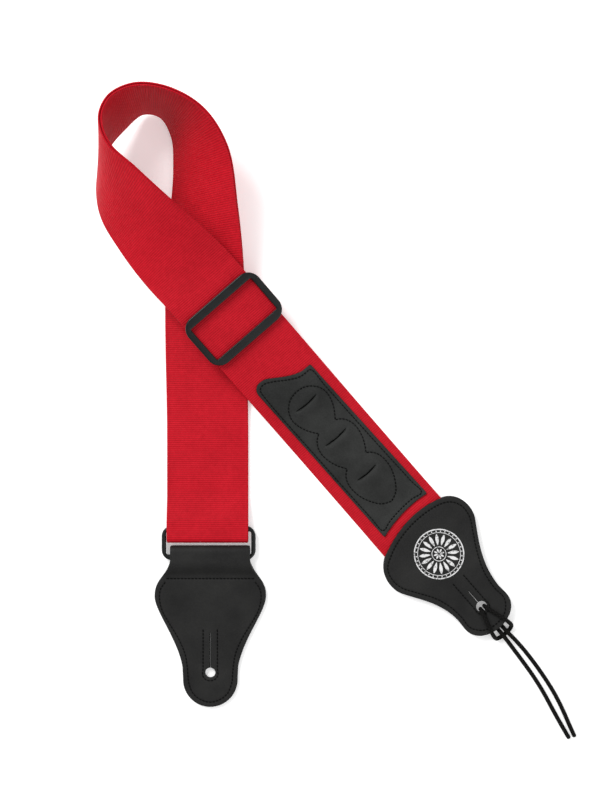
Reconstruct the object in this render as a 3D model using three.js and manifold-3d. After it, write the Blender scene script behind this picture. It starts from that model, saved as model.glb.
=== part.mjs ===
// Guitar strap lying folded over on a table: doubled webbing with a slider and a ring, a leather tab at
// each end, a leather pick holder and a neck cord. Millimetres, +X right, +Y away from the ring, +Z up.
import * as THREE from 'three';
import { mergeVertices } from 'three/addons/utils/BufferGeometryUtils.js';
import Module from 'manifold-3d';

const wasm = await Module();
wasm.setup();

// ---- driving dimensions ----
const GAP = 0.3; // clearance left between pieces that touch
const WEB_WIDTH = 50;
const WEB_THICK = 1.2;
const LEATHER = 1.4;
const THREAD = 0.6;
const SEAM_LIFT = 0.4; // middle of a seam above its leather
const CORD_DIAMETER = 2.6;
const CENTRE = [1.343, -5.456]; // middle of the strap's box on the table, taken off every place

// Button leg: straight along Y, flat on the table.
const LEG_X = -58.5;
const RING_BAR_Y = -82.7;
const RING_LOWER_Y = -100.4;
const RING_Z = 3.55;
const RING_X = -57.8;
const RING_OUTER = [57.8, 21.4];
const RING_BAR = 3.7;
const RING_SIDE = 2.8;
const RING_THICK = 3.2;
const RING_ROUND = 0.9;
const RING_ROOM = 4.6; // clear height inside each fold that holds the ring, so the ring can turn
const BIGHT_Y = -91.5;
const LOOP_START_Y = -60;

// Neck leg: straight, leaving the loop at an angle, first down a ramp and then flat.
const NECK_PIVOT = [21.1, -28.4];
const NECK_TURN = THREE.MathUtils.degToRad(41);
const RAMP_SLOPE = 0.2;
const RAMP_END = -30;
const NECK_START = -125;
const WEB_END = 90;

// Slider, measured along and across the neck leg.
const SLIDER_AT = -97.3;
const SLIDER = [35.3, 56];
const SLIDER_CORNER = 8.5;
const SLIDER_SIDE = 4.2;
const SLIDER_OFFSET = 0.9; // it sits a little to one side of the webbing
const SLIDER_BAR = 5.4;
const SLIDER_THICK = 3;
const CENTRE_BAR = [5, 2];
const HEM_LENGTH = 24;

// Leather tabs.
const BUTTON_HOLE = 3.1;
const BUTTON_AXIS_X = -56.9;
const BUTTON_HOLE_Y = -171.5;
const NECK_HOLE_AT = 135;
const NECK_HOLE = 3.4;
const SLIT_WIDTH = 0.8;
const NECK_TAB_RISE = 3.3;

// Pick holder: three pockets in a row, each with the outline of a pick.
const POCKET_AT = [-27.3, 1.5, 30.3];
const POCKET_HALF_WIDTH = 13.7;
const POCKET_SHIFT = [0.75, -1.25]; // the pockets' own middle, across and along
const SLIT_AT = [-30.2, -1.9, 27];
const SLIT_HALF_LENGTH = 8;

// ---- materials ----
const finish = (color, roughness, metalness = 0) =>
  new THREE.MeshStandardMaterial({ color, roughness, metalness });
const webbingRed = finish(0xc0142a, 0.75);
const blackLeather = finish(0x2d2d2d, 0.6);
const blackPlastic = finish(0x23282a, 0.35);
const blackThread = finish(0x0c0c0c, 0.7);
const redThread = finish(0x960a14, 0.7);
const blackCord = finish(0x101010, 0.85);

// ---- small helpers ----
const vec = (x, y, z = 0) => new THREE.Vector3(x, y, z);

function toManifold(geometry) {
  const plain = geometry.clone();
  plain.deleteAttribute('normal');
  plain.deleteAttribute('uv');
  const merged = mergeVertices(plain, 1e-4);
  const vertProperties = Float32Array.from(merged.attributes.position.array);
  const triVerts = Uint32Array.from(merged.index.array);
  return new wasm.Manifold(new wasm.Mesh({ numProp: 3, vertProperties, triVerts }));
}

function toGeometry(solid) {
  const mesh = solid.getMesh();
  const geometry = new THREE.BufferGeometry();
  geometry.setAttribute('position', new THREE.BufferAttribute(mesh.vertProperties, 3));
  geometry.setIndex(new THREE.BufferAttribute(mesh.triVerts, 1));
  geometry.computeVertexNormals();
  return geometry;
}

const intersect = (a, b) => toGeometry(toManifold(a).intersect(toManifold(b)));

// A prism standing on the XY plane from z = low to z = high.
function prism(shape, low, high, curveSegments = 10) {
  const depth = high - low;
  const geometry = new THREE.ExtrudeGeometry(shape, { depth, bevelEnabled: false, curveSegments });
  return geometry.translate(0, 0, low);
}

// A profile drawn as (distance along Y, height), made into a slab that is wide along X.
function slab(profile, halfWidth) {
  const shape = new THREE.Shape(profile.map(([y, z]) => new THREE.Vector2(y, z)));
  const options = { depth: 2 * halfWidth, bevelEnabled: false, curveSegments: 8 };
  const geometry = new THREE.ExtrudeGeometry(shape, options);
  const turn = new THREE.Matrix4().makeBasis(vec(0, 1, 0), vec(0, 0, 1), vec(1, 0, 0));
  return geometry.applyMatrix4(turn).translate(-halfWidth, 0, 0);
}

function roundedRectangle(width, height, radius) {
  const x = width / 2;
  const y = height / 2;
  const shape = new THREE.Shape();
  shape.absarc(x - radius, y - radius, radius, 0, Math.PI / 2);
  shape.absarc(radius - x, y - radius, radius, Math.PI / 2, Math.PI);
  shape.absarc(radius - x, radius - y, radius, Math.PI, 1.5 * Math.PI);
  shape.absarc(x - radius, radius - y, radius, 1.5 * Math.PI, 2 * Math.PI);
  return shape;
}

function smoothStep(x, from, to) {
  return THREE.MathUtils.smoothstep(x, from, to);
}

// ---- the strap's route ----
// The layer between the two runs of webbing. On the neck leg "along" is the distance past the pivot.
const alongDir = vec(Math.sin(NECK_TURN), -Math.cos(NECK_TURN));
const acrossDir = vec(Math.cos(NECK_TURN), Math.sin(NECK_TURN));

function neckHeight(along) {
  const rest = -GAP / 2;
  if (along < RAMP_END) return rest + (RAMP_END / 2 - along) * RAMP_SLOPE;
  if (along < 0) return rest + (RAMP_SLOPE * along * along) / (-2 * RAMP_END);
  return rest + (LEATHER + GAP) * smoothStep(along, 54, 66);
}

function neckPoint(along, across, height) {
  const point = vec(...NECK_PIVOT, 0);
  point.addScaledVector(alongDir, along).addScaledVector(acrossDir, across);
  const slope = neckHeight(along + 0.5) - neckHeight(along - 0.5);
  const up = vec(-slope * alongDir.x, -slope * alongDir.y, 1).normalize();
  point.z = neckHeight(along);
  return point.addScaledVector(up, height);
}

// Outer edge and inner edge of the loop, station by station, from the button leg to the neck leg.
const LOOP_STATIONS = [
  [[-33.5, -60, 1.35], [-83.5, -60, 1.35]],
  [[-33.6, -15, 1.75], [-83.6, -15, 1.45]],
  [[-35, 30, 5], [-84, 30, 1.8]],
  [[-37, 71, 13], [-83, 70, 2.2]],
  [[-39.5, 112, 28], [-81.2, 107, 2.4]],
  [[-44.2, 145.5, 38.5], [-79.3, 139, 2.4]],
  [[-58.5, 167, 46], [-80, 157.5, 2.4]],
  [[-78.5, 178, 50.5], [-87, 170.5, 2.4]],
  [[-97.5, 180, 53], [-98, 172.5, 3.5]],
  [[-111, 173.5, 57], [-109.8, 161.5, 8]],
  [[-116.5, 163, 60], [-119, 149, 12]],
  [[-115.8, 152.5, 62], [-123, 134, 17]],
  [[-110.5, 142.3, 61], [-123.4, 117.5, 20]],
  [[-97, 130.6, 57], [-119.8, 103.6, 22.3]],
  [[-80, 114.8, 49], [-109.6, 87.5, 22.6]],
  [[-61.6, 99.3, 36], [-96, 69, 22]],
];

function loopFrames(stepsPerSpan = 5) {
  const ends = [NECK_START, NECK_START + 25].map((along) =>
    [25, -25].map((across) => neckPoint(along, across, 0).toArray()));
  const stations = [...LOOP_STATIONS, ...ends];
  const outer = new THREE.CatmullRomCurve3(stations.map(([edge]) => vec(...edge)));
  const inner = new THREE.CatmullRomCurve3(stations.map(([, edge]) => vec(...edge)));
  const spans = stations.length - 1;
  const count = (spans - 1) * stepsPerSpan;
  const frames = [];
  for (let i = 0; i <= count; i += 1) {
    const u = i / (spans * stepsPerSpan);
    const a = outer.getPoint(u);
    const b = inner.getPoint(u);
    frames.push({ centre: a.clone().add(b).multiplyScalar(0.5), across: a.clone().sub(b).normalize() });
  }
  for (let i = 0; i <= count; i += 1) {
    const before = frames[Math.max(i - 1, 0)].centre;
    const after = frames[Math.min(i + 1, count)].centre;
    const tangent = after.clone().sub(before).normalize();
    // The normal points to the back of the webbing, which is up on the button leg.
    frames[i].normal = frames[i].across.clone().cross(tangent).normalize();
  }
  return frames;
}

function offsetFrames(frames, distance) {
  return frames.map(({ centre, across, normal }) => ({
    centre: centre.clone().addScaledVector(normal, distance),
    across,
    normal,
  }));
}

// Frames on the neck leg, with the normal to the back of the webbing, which is down here.
function neckFrames(alongs, height) {
  return alongs.map((along) => ({
    centre: neckPoint(along, 0, height),
    across: acrossDir,
    normal: neckPoint(along, 0, 0).sub(neckPoint(along, 0, 1)),
  }));
}

// A closed strip of rectangular section through the frames.
function strip(frames, width, thickness) {
  const positions = [];
  for (const { centre, across, normal } of frames) {
    for (const [side, face] of [[1, 1], [-1, 1], [-1, -1], [1, -1]]) {
      const corner = centre.clone().addScaledVector(across, (side * width) / 2);
      corner.addScaledVector(normal, (face * thickness) / 2);
      positions.push(...corner.toArray());
    }
  }
  const index = [];
  const quad = (a, b, c, d) => index.push(a, b, c, a, c, d);
  // Both wide faces are split along the same diagonal, so a twisted strip keeps its thickness.
  const sides = [[0, 1, 5, 4], [1, 2, 6, 5], [3, 7, 6, 2], [3, 0, 4, 7]];
  for (let i = 0; i + 1 < frames.length; i += 1) {
    for (const side of sides) {
      quad(...side.map((corner) => 4 * i + corner));
    }
  }
  const last = 4 * (frames.length - 1);
  quad(3, 2, 1, 0);
  quad(last, last + 1, last + 2, last + 3);
  const geometry = new THREE.BufferGeometry();
  geometry.setAttribute('position', new THREE.Float32BufferAttribute(positions, 3));
  geometry.setIndex(index);
  geometry.computeVertexNormals();
  return geometry;
}

const range = (from, to, count) =>
  Array.from({ length: count + 1 }, (_, i) => from + ((to - from) * i) / count);

// ---- webbing ----
const LAYER = (WEB_THICK + GAP) / 2;

// The bight round the ring's upper bar: flat underneath, a half turn, and back over the bar.
function bightFrames() {
  const radius = (RING_ROOM + WEB_THICK) / 2;
  const turnY = BIGHT_Y + radius + WEB_THICK / 2;
  const middle = WEB_THICK / 2 + radius;
  const frame = (y, z, ny, nz) => ({
    centre: vec(LEG_X, y, z),
    across: vec(1, 0, 0),
    normal: vec(0, ny, nz),
  });
  const turn = range(-Math.PI / 2, -1.5 * Math.PI, 10).map((angle) =>
    frame(turnY + radius * Math.cos(angle), middle + radius * Math.sin(angle),
      Math.cos(angle), Math.sin(angle)));
  const high = middle + radius;
  const low = 2 * LAYER + WEB_THICK / 2;
  const back = range(0, 1, 8).map((t) => {
    const y = THREE.MathUtils.lerp(RING_BAR_Y + 3, -61, t);
    const drop = (high - low) * smoothStep(t, 0, 1);
    const slope = ((high - low) * 6 * t * (1 - t)) / (-61 - RING_BAR_Y - 3);
    const length = Math.hypot(1, slope);
    return frame(y, high - drop, slope / length, 1 / length);
  });
  return [...turn, ...back];
}

// The run that lies on top: from the neck tab, down through the slider and round the loop.
function mainRun() {
  const main = offsetFrames(loopFrames(), -LAYER);
  const neck = neckFrames(
    [...range(WEB_END, 52, 14), ...range(48, 0, 4), ...range(-3, RAMP_END, 8), -60, -90, -115], LAYER);
  return strip([...neck, ...main.reverse()], WEB_WIDTH, WEB_THICK);
}

// The same webbing going on round the ring and back along its own underside to the slider.
function returnRun() {
  const start = {
    centre: vec(LEG_X, LOOP_START_Y - GAP, WEB_THICK / 2),
    across: vec(1, 0, 0),
    normal: vec(0, 0, -1),
  };
  const back = offsetFrames(loopFrames(), LAYER);
  const tail = neckFrames([-124, SLIDER_AT - HEM_LENGTH - 1], -LAYER);
  return strip([start, ...bightFrames(), ...back, ...tail].reverse(), WEB_WIDTH, WEB_THICK);
}

// The sewn end: over the slider's centre bar, round it and back underneath.
function endLoop() {
  const radius = CENTRE_BAR[1] / 2 + GAP + WEB_THICK / 2;
  const half = CENTRE_BAR[0] / 2 - 0.4;
  const down = LAYER + radius;
  const place = (along, height, tilt) => {
    const up = neckPoint(along, 0, 1).sub(neckPoint(along, 0, 0));
    const forward = acrossDir.clone().cross(up);
    const normal = up.clone().multiplyScalar(Math.cos(tilt)).addScaledVector(forward, Math.sin(tilt));
    return { centre: neckPoint(along, 0, height), across: acrossDir, normal };
  };
  const start = SLIDER_AT - HEM_LENGTH;
  const over = [start, SLIDER_AT + half].map((along) => place(along, -LAYER, 0));
  const turn = range(0, Math.PI, 8).slice(1, -1).map((angle) =>
    place(SLIDER_AT + half + radius * Math.sin(angle), -down + radius * Math.cos(angle), angle));
  const below = range(0, 1, 5).map((t) => {
    const height = THREE.MathUtils.lerp(-down - radius, -LAYER - WEB_THICK - GAP, smoothStep(t, 0, 1));
    return place(THREE.MathUtils.lerp(SLIDER_AT - half - 1, start + 6, t), height, Math.PI);
  });
  const corner = place(SLIDER_AT + half, -down - radius, Math.PI);
  return strip([...over, ...turn, corner, ...below, place(start, -LAYER - WEB_THICK - GAP, Math.PI)],
    WEB_WIDTH, WEB_THICK);
}

// ---- slider ----
// Built with Y along the strap and Z up from the middle layer, then laid on the ramp.
function slider() {
  const [length, width] = SLIDER;
  const under = 2 * LAYER + GAP / 2;
  const top = under + SLIDER_THICK;
  const barTop = -2 * LAYER - GAP / 2;
  const barLow = barTop - CENTRE_BAR[1];
  const outline = prism(roundedRectangle(width, length, SLIDER_CORNER), -10, 10, 10);
  const railSide = new THREE.Shape();
  railSide.moveTo(-length / 2, under);
  railSide.quadraticCurveTo(-9, under, -7, barLow / 2);
  railSide.quadraticCurveTo(-5.5, barLow, -CENTRE_BAR[0] / 2, barLow);
  railSide.lineTo(CENTRE_BAR[0] / 2, barLow);
  railSide.quadraticCurveTo(5.5, barLow, 7, barLow / 2);
  railSide.quadraticCurveTo(9, under, length / 2, under);
  railSide.lineTo(length / 2, top);
  railSide.lineTo(-length / 2, top);
  railSide.closePath();
  const side = railSide.getPoints(6).map((p) => [p.x, p.y]);
  const box = (w, l, low, high, y = 0) =>
    toManifold(new THREE.BoxGeometry(w, l, high - low).translate(0, y, (low + high) / 2));
  // The webbing passes between the sides, and above it they reach in over its edges.
  const passage = box(WEB_WIDTH + 2 * GAP, length + 2, -10, under).translate([-SLIDER_OFFSET, 0, 0]);
  const window = box(width - 2 * SLIDER_SIDE, length + 2, under - 0.1, 10);
  let solid = toManifold(slab(side, width / 2)).subtract(passage).subtract(window);
  for (const end of [-1, 1]) {
    solid = solid.add(box(width - 1, SLIDER_BAR, under, top, (end * (length - SLIDER_BAR)) / 2));
  }
  solid = solid.add(box(width - 1, CENTRE_BAR[0], barLow, barTop));
  return toGeometry(solid.intersect(toManifold(outline)).translate([SLIDER_OFFSET, 0, 0]));
}

// ---- ring ----
function ring() {
  const shape = roundedRectangle(...RING_OUTER, 6.5);
  // The opening's corners are tight, so nothing but the bars turns inside the folds.
  shape.holes.push(roundedRectangle(RING_OUTER[0] - 2 * RING_SIDE, RING_OUTER[1] - 2 * RING_BAR, 0.8));
  const geometry = new THREE.ExtrudeGeometry(shape, {
    depth: RING_THICK - 2 * RING_ROUND,
    bevelThickness: RING_ROUND,
    bevelSize: RING_ROUND,
    bevelOffset: -RING_ROUND,
    bevelSegments: 2,
    curveSegments: 6,
  });
  return geometry.translate(0, 0, RING_ROUND - RING_THICK / 2);
}

// ---- leather tabs ----
// Hole for a strap button with the slit that lets the button's head through, towards the strap.
function keyhole(x, y, radius, slitEnd) {
  const half = SLIT_WIDTH / 2;
  const path = new THREE.Path();
  const start = Math.PI / 2 - Math.asin(half / radius);
  path.absarc(x, y, radius, start, start - 2 * Math.PI + 2 * Math.asin(half / radius), true);
  path.lineTo(x - half, slitEnd);
  path.lineTo(x + half, slitEnd);
  path.closePath();
  return path;
}

// Button tab seen from above, centred on its own axis, the rounded tip towards -Y.
function buttonTabShape(top, topHalf) {
  const shape = new THREE.Shape();
  shape.moveTo(-topHalf, top);
  shape.lineTo(-topHalf, -103);
  shape.bezierCurveTo(-28, -113, -34.3, -114, -34.3, -124.5);
  shape.bezierCurveTo(-34.3, -134, -19, -152, -16.8, -170);
  shape.absarc(0, -175.8, 16.8, Math.PI - 0.05, 2 * Math.PI + 0.05);
  shape.bezierCurveTo(19, -152, 34.3, -134, 34.3, -124.5);
  shape.bezierCurveTo(34.3, -114, 28, -113, topHalf, -103);
  shape.lineTo(topHalf, top);
  shape.holes.push(keyhole(0, BUTTON_HOLE_Y, BUTTON_HOLE, -147));
  return shape;
}

// Front leather: over the ring's lower bar, round it and tucked back underneath.
function buttonTabFront() {
  const foldY = -92.9;
  const outer = LEATHER + RING_ROOM / 2;
  const inner = outer - LEATHER;
  const centreY = foldY - outer;
  const high = 2 * outer;
  const low = LEATHER + GAP;
  const arc = (radius, from, to) => range(from, to, 8).map((angle) =>
    [centreY + radius * Math.cos(angle), outer + radius * Math.sin(angle)]);
  const descent = range(0, 1, 5).map((t) => [-103.5 - 8.5 * t, smoothStep(t, 0, 1)]);
  const profile = [
    [-117, 0],
    ...arc(outer, -Math.PI / 2, Math.PI / 2),
    ...descent.map(([y, t]) => [y, high - (high - low - LEATHER) * t]),
    [-200, low + LEATHER],
    [-200, low],
    ...descent.map(([y, t]) => [y - 0.4, high - LEATHER - (high - LEATHER - low) * t]).reverse(),
    ...arc(inner, Math.PI / 2, -Math.PI / 2),
    [-117, LEATHER],
  ];
  return intersect(slab(profile, 40), prism(buttonTabShape(-92, 24.5), -1, 9));
}

function buttonTabBacking() {
  const whole = prism(buttonTabShape(-92, 24.5), 0, LEATHER);
  const keep = new THREE.BoxGeometry(90, 100, 10).translate(0, -117.5 - 50, 0);
  return intersect(whole, keep);
}

// Neck tab from above on the neck leg's own axes, the rounded tip towards -Y: an arched top over the
// strap's end, broad shoulders, a narrow neck and a round tip.
function neckTabShape() {
  const shape = new THREE.Shape();
  shape.moveTo(-24.1, -73);
  shape.bezierCurveTo(-31, -77, -35.5, -84, -33.2, -94);
  shape.bezierCurveTo(-31, -101, -17.5, -114, -16.6, -131);
  shape.bezierCurveTo(-16.4, -134, -17, -137, -16.8, -140);
  shape.bezierCurveTo(-15.5, -156, 15.5, -156, 16.8, -140);
  shape.bezierCurveTo(17, -137, 16.2, -134, 16.4, -131);
  shape.bezierCurveTo(17.5, -112, 28, -99.5, 33, -91);
  shape.bezierCurveTo(37, -82, 34, -72.5, 26, -69.1);
  shape.quadraticCurveTo(3, -60.5, -24.1, -73);
  return shape;
}

// Lowest face of the neck tab's backing and of its front, along the tab.
const backingHeight = (along) => NECK_TAB_RISE * smoothStep(along, 88, 106);
const frontHeight = (along) => {
  const overWebbing = LEATHER + WEB_THICK + 2 * GAP;
  const overBacking = NECK_TAB_RISE + LEATHER + GAP;
  return overWebbing + (overBacking - overWebbing + 0.2) * smoothStep(along, 88, 106);
};

function neckTabLayer(height) {
  const stations = [60, ...range(88, 106, 6), 160];
  const profile = [
    ...stations.map((along) => [-along, height(along) + LEATHER]),
    ...stations.map((along) => [-along, height(along)]).reverse(),
  ];
  const outline = neckTabShape();
  outline.holes.push(keyhole(0, -NECK_HOLE_AT, NECK_HOLE, -123));
  return intersect(slab(profile, 45), prism(outline, -1, 12));
}

// ---- pick holder ----
function pickHolderShape() {
  const shape = new THREE.Shape();
  shape.moveTo(-18.4, 52);
  shape.bezierCurveTo(-18.4, 58.5, -12, 59.5, -7, 56.5);
  shape.bezierCurveTo(-1, 52.5, 6, 47, 13, 46.5);
  shape.lineTo(18.2, 46.5);
  shape.lineTo(20.4, -61.4);
  shape.quadraticCurveTo(5.2, -58.4, -17.2, -64.4);
  shape.closePath();
  for (const along of SLIT_AT) {
    const slit = roundedRectangle(2 * SLIT_HALF_LENGTH, SLIT_WIDTH, SLIT_WIDTH / 4);
    const points = slit.getPoints(1).map((p) => new THREE.Vector2(p.x + POCKET_SHIFT[0], p.y - along));
    shape.holes.push(new THREE.Path(points));
  }
  return shape;
}

// A slab that follows the strap, from one height above its middle layer to another.
function strapSlab(from, to, low, high, halfWidth) {
  const alongs = [from, ...range(RAMP_END, 0, 8), 52, ...range(54, 66, 4), to];
  const edge = (height) => alongs.map((along) => {
    const point = neckPoint(along, 0, height);
    const distance = point.clone().sub(vec(...NECK_PIVOT)).dot(alongDir);
    return [-distance, point.z];
  });
  return slab([...edge(high), ...edge(low).reverse()], halfWidth);
}

function pickHolder() {
  const low = 2 * LAYER + GAP / 2;
  return intersect(strapSlab(-65, 70, low, low + LEATHER, 30), prism(pickHolderShape(), -2, 30));
}

// ---- seams and cord ----
function tube(points, diameter, sides, steps, closed = false) {
  const section = new THREE.Shape();
  for (const k of range(0, sides - 1, sides - 1)) {
    const angle = (2 * Math.PI * (k + 0.5)) / sides;
    const x = (diameter / 2) * Math.cos(angle);
    const y = (diameter / 2) * Math.sin(angle);
    if (k === 0) section.moveTo(x, y);
    else section.lineTo(x, y);
  }
  const extrudePath = new THREE.CatmullRomCurve3(points, closed);
  return new THREE.ExtrudeGeometry(section, { steps, extrudePath, bevelEnabled: false });
}

const seam = (points, steps) => tube(points, THREAD, 4, steps);

// Even points on a smooth outline given as [across, along], so that a seam can follow a curved surface.
function evenly(pairs, count) {
  const curve = new THREE.CatmullRomCurve3(pairs.map(([across, along]) => vec(across, along)));
  return curve.getSpacedPoints(count);
}

const onStrap = (pairs, count, height) =>
  evenly(pairs, count).map(({ x, y }) => neckPoint(y, x, height));

const onNeckTab = (pairs, count) =>
  evenly(pairs, count).map(({ x, y }) => vec(x, -y, frontHeight(y) + LEATHER + SEAM_LIFT));

// A seam round a button hole and its slit, open at the end towards the strap.
function keyholeSeam(y, slitEnd, halfWidth) {
  const left = range(slitEnd, y + 2, 3).map((row) => [-halfWidth, row]);
  const round = range(Math.PI, 2 * Math.PI, 8).slice(1, -1).map((angle) =>
    [halfWidth * Math.cos(angle) * 1.15, y + halfWidth * 1.15 * Math.sin(angle)]);
  const right = left.map(([x, row]) => [-x, row]).reverse();
  return [...left, ...round, ...right];
}

// The line of sewing across the underside of the end loop.
function endSeam() {
  const height = -LAYER - 1.5 * WEB_THICK - GAP - SEAM_LIFT;
  const ends = [-22, 22].map((across) => neckPoint(SLIDER_AT - HEM_LENGTH + 4, across, height));
  return seam(ends, 1);
}

// The three picks overlap, so the pocket seam is one wavy outline with a waist between two picks.
function pocketSeam() {
  const [first, , last] = POCKET_AT;
  const side = [[0.5, first - 10.9], [7, first - 9.6]];
  for (const at of POCKET_AT) {
    side.push([11.8, at - 6.5], [POCKET_HALF_WIDTH, at + 0.5], [12, at + 8.5], [7.5, at + 17]);
  }
  side.push([2.8, last + 21], [0, last + 21.6]);
  const other = side.slice(0, -1).map(([across, along]) => [-across, along]);
  const [shiftAcross, shiftAlong] = POCKET_SHIFT;
  return [...side, ...other.reverse()].map(([across, along]) =>
    [across + shiftAcross, along + shiftAlong]);
}

// The cord's hitch: up through the hole, two strands over the front, and the bight round the tip.
// Points are on the neck leg's axes, for one side only.
const HITCH_SIDE = [
  [1.5, -146, 1.6], [1.5, -141.5, 1.4], [1.5, -138.4, 1.5], [1.5, -136.4, 2.6], [1.5, -136, 4.4],
  [1.5, -136, 6.3], [1.8, -137, 8.1], [2.5, -139.4, 8.8], [4.2, -145, 8.8], [5.7, -150.2, 8.6],
  [6.3, -153.2, 7], [6.4, -155, 5.1], [6, -156.4, 3.2], [4.4, -157.4, 1.8], [2.2, -157.8, 1.4],
];
const hitchPoints = () => {
  const side = HITCH_SIDE.map((point) => vec(...point));
  const other = HITCH_SIDE.map(([x, y, z]) => vec(-x, y, z)).reverse();
  return [...side, vec(0, -157.9, 1.35), ...other];
};

// The two free tails: out from under the tip, over the bight and along the table.
const TAIL_A = [
  [-1.5, -146.4, 1.6], [-1.5, -149, 1.45], [-1.5, -151.6, 1.6], [-1.6, -154.6, 3], [-1.7, -158, 4.3],
  [-1.9, -161, 4.3], [-2.1, -164.5, 3.3], [-2.4, -168.5, 2], [-2.7, -173, 1.4], [-3.1, -178, 1.3],
  [-3.6, -184, 1.3], [-4.4, -191, 1.3], [-5.5, -198, 1.3], [-6.9, -205, 1.3], [-8.5, -212, 1.3],
  [-10, -219, 1.3], [-11.4, -226, 1.3], [-12.6, -232.5, 1.3],
];
const TAIL_B = [
  [1.5, -146.4, 1.6], [1.5, -149, 1.45], [1.5, -151.6, 1.6], [1.6, -154.6, 3], [1.7, -158, 4.3],
  [1.9, -161, 4.3], [2.1, -164.5, 3.3], [2.2, -168.5, 2], [2.2, -173, 1.4], [2, -178, 1.3],
  [1.6, -184, 1.3], [0.9, -191, 1.3], [0, -198, 1.3], [-1.2, -205, 1.3], [-2.8, -212, 1.3],
  [-4.8, -219, 1.3], [-7, -226, 1.3], [-9.4, -234, 1.3],
];
const points3 = (rows) => rows.map((row) => vec(...row));
const cord = (points, steps) => tube(points, CORD_DIAMETER, 8, steps);

const BUTTON_EDGE_SEAM = [
  [-27.5, -115.5], [-30.6, -120], [-31.3, -125], [-29.7, -133], [-25.3, -141], [-19.5, -150.5], [-15.5, -160],
  [-13.9, -170], [-13.2, -178], [-9.5, -185.5], [0, -189.6], [9.5, -185.5], [13.2, -178], [13.9, -170],
  [15.5, -160], [19.5, -150.5], [25.3, -141], [29.7, -133], [31.3, -125], [30.6, -120], [27.5, -115.5],
];
const NECK_EDGE_SEAM = [
  [-22.5, 75.8], [-28.5, 80], [-30.7, 87], [-29.5, 94.5], [-24.5, 102.5], [-18.5, 112], [-14.8, 122],
  [-13.6, 132], [-13.9, 140], [-8.5, 146.8], [0, 148.8], [8.5, 146.8], [13.9, 140], [13.4, 132], [15, 120],
  [20.5, 106.5], [26, 97], [30.5, 89], [31.3, 80.5], [27.5, 74], [20, 70.5], [4, 69], [-12, 71.5], [-21, 75],
];
const PICK_EDGE_SEAM = [
  [1, 58.3], [-9, 59.7], [-15.2, 61.4], [-15.7, 50], [-16.4, 0], [-16.4, -48], [-15.6, -54.5], [-12, -56],
  [-6.5, -53.6], [1.5, -48.3], [8, -45], [13, -44.4], [16.1, -44.4], [16.4, -30], [17.2, 20], [18, 50],
  [18.4, 59], [11, 58], [2, 58.2],
];
const NECK_HOLE_SEAM = keyholeSeam(-NECK_HOLE_AT, -113, 4.2).map(([x, y]) => [x, -y]);

// ---- assembly ----
const model = new THREE.Group();
const placed = new THREE.Group();
placed.position.set(-CENTRE[0], -CENTRE[1], 0);
model.add(placed);

function add(parent, name, geometry, material) {
  const mesh = new THREE.Mesh(geometry, material.clone());
  mesh.name = name;
  parent.add(mesh);
  return mesh;
}

add(placed, 'webbing_main_run', mainRun(), webbingRed);
add(placed, 'webbing_return_run', returnRun(), webbingRed);
add(placed, 'webbing_end_loop', endLoop(), webbingRed);

const ramp = new THREE.Group();
ramp.position.copy(neckPoint(SLIDER_AT, 0, 0));
const rampUp = neckPoint(SLIDER_AT, 0, 1).sub(ramp.position);
const rampBack = rampUp.clone().cross(acrossDir);
ramp.quaternion.setFromRotationMatrix(new THREE.Matrix4().makeBasis(acrossDir, rampBack, rampUp));
placed.add(ramp);
add(ramp, 'slider_frame', slider(), blackPlastic);
add(placed, 'webbing_end_seam', endSeam(), redThread);

const ringMesh = add(placed, 'ring', ring(), blackPlastic);
ringMesh.position.set(RING_X, (RING_BAR_Y + RING_LOWER_Y) / 2, RING_Z);

const buttonTab = new THREE.Group();
buttonTab.position.set(BUTTON_AXIS_X, 0, 0);
placed.add(buttonTab);
add(buttonTab, 'button_tab_front', buttonTabFront(), blackLeather);
add(buttonTab, 'button_tab_backing', buttonTabBacking(), blackLeather);
const buttonTop = 2 * LEATHER + GAP + SEAM_LIFT;
const onButtonTab = (pairs) => pairs.map(([x, y]) => vec(x, y, buttonTop));
add(buttonTab, 'button_tab_edge_seam', seam(onButtonTab(BUTTON_EDGE_SEAM), 56), blackThread);
add(buttonTab, 'button_tab_fold_seam', seam(onButtonTab([[-26, -113.5], [26, -113.5]]), 1), blackThread);
add(buttonTab, 'button_tab_hole_seam', seam(onButtonTab(keyholeSeam(BUTTON_HOLE_Y, -145, 4.3)), 30),
  blackThread);

const neckTab = new THREE.Group();
neckTab.position.set(...NECK_PIVOT, 0);
neckTab.rotation.z = NECK_TURN;
placed.add(neckTab);
add(neckTab, 'neck_tab_front', neckTabLayer(frontHeight), blackLeather);
add(neckTab, 'neck_tab_backing', neckTabLayer(backingHeight), blackLeather);
add(neckTab, 'neck_tab_edge_seam', seam(onNeckTab(NECK_EDGE_SEAM, 60), 60), blackThread);
add(neckTab, 'neck_tab_hole_seam', seam(onNeckTab(NECK_HOLE_SEAM, 30), 30), blackThread);
add(neckTab, 'pick_holder', pickHolder(), blackLeather);
const seamHeight = 2 * LAYER + GAP / 2 + LEATHER + SEAM_LIFT;
add(placed, 'pick_holder_edge_seam', seam(onStrap(PICK_EDGE_SEAM, 70, seamHeight), 70), blackThread);
add(placed, 'pick_pocket_seam', seam(onStrap(pocketSeam(), 84, seamHeight), 84), blackThread);
add(neckTab, 'cord_hitch', cord(hitchPoints(), 64), blackCord);
add(neckTab, 'cord_tail_a', cord(points3(TAIL_A), 24), blackCord);
add(neckTab, 'cord_tail_b', cord(points3(TAIL_B), 24), blackCord);

export default model;
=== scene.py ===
"""A guitar strap lying folded over in a loop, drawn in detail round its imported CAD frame."""

import math

import bmesh
import bpy
import numpy as np
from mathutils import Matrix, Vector, kdtree
from mathutils.geometry import delaunay_2d_cdt


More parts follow.
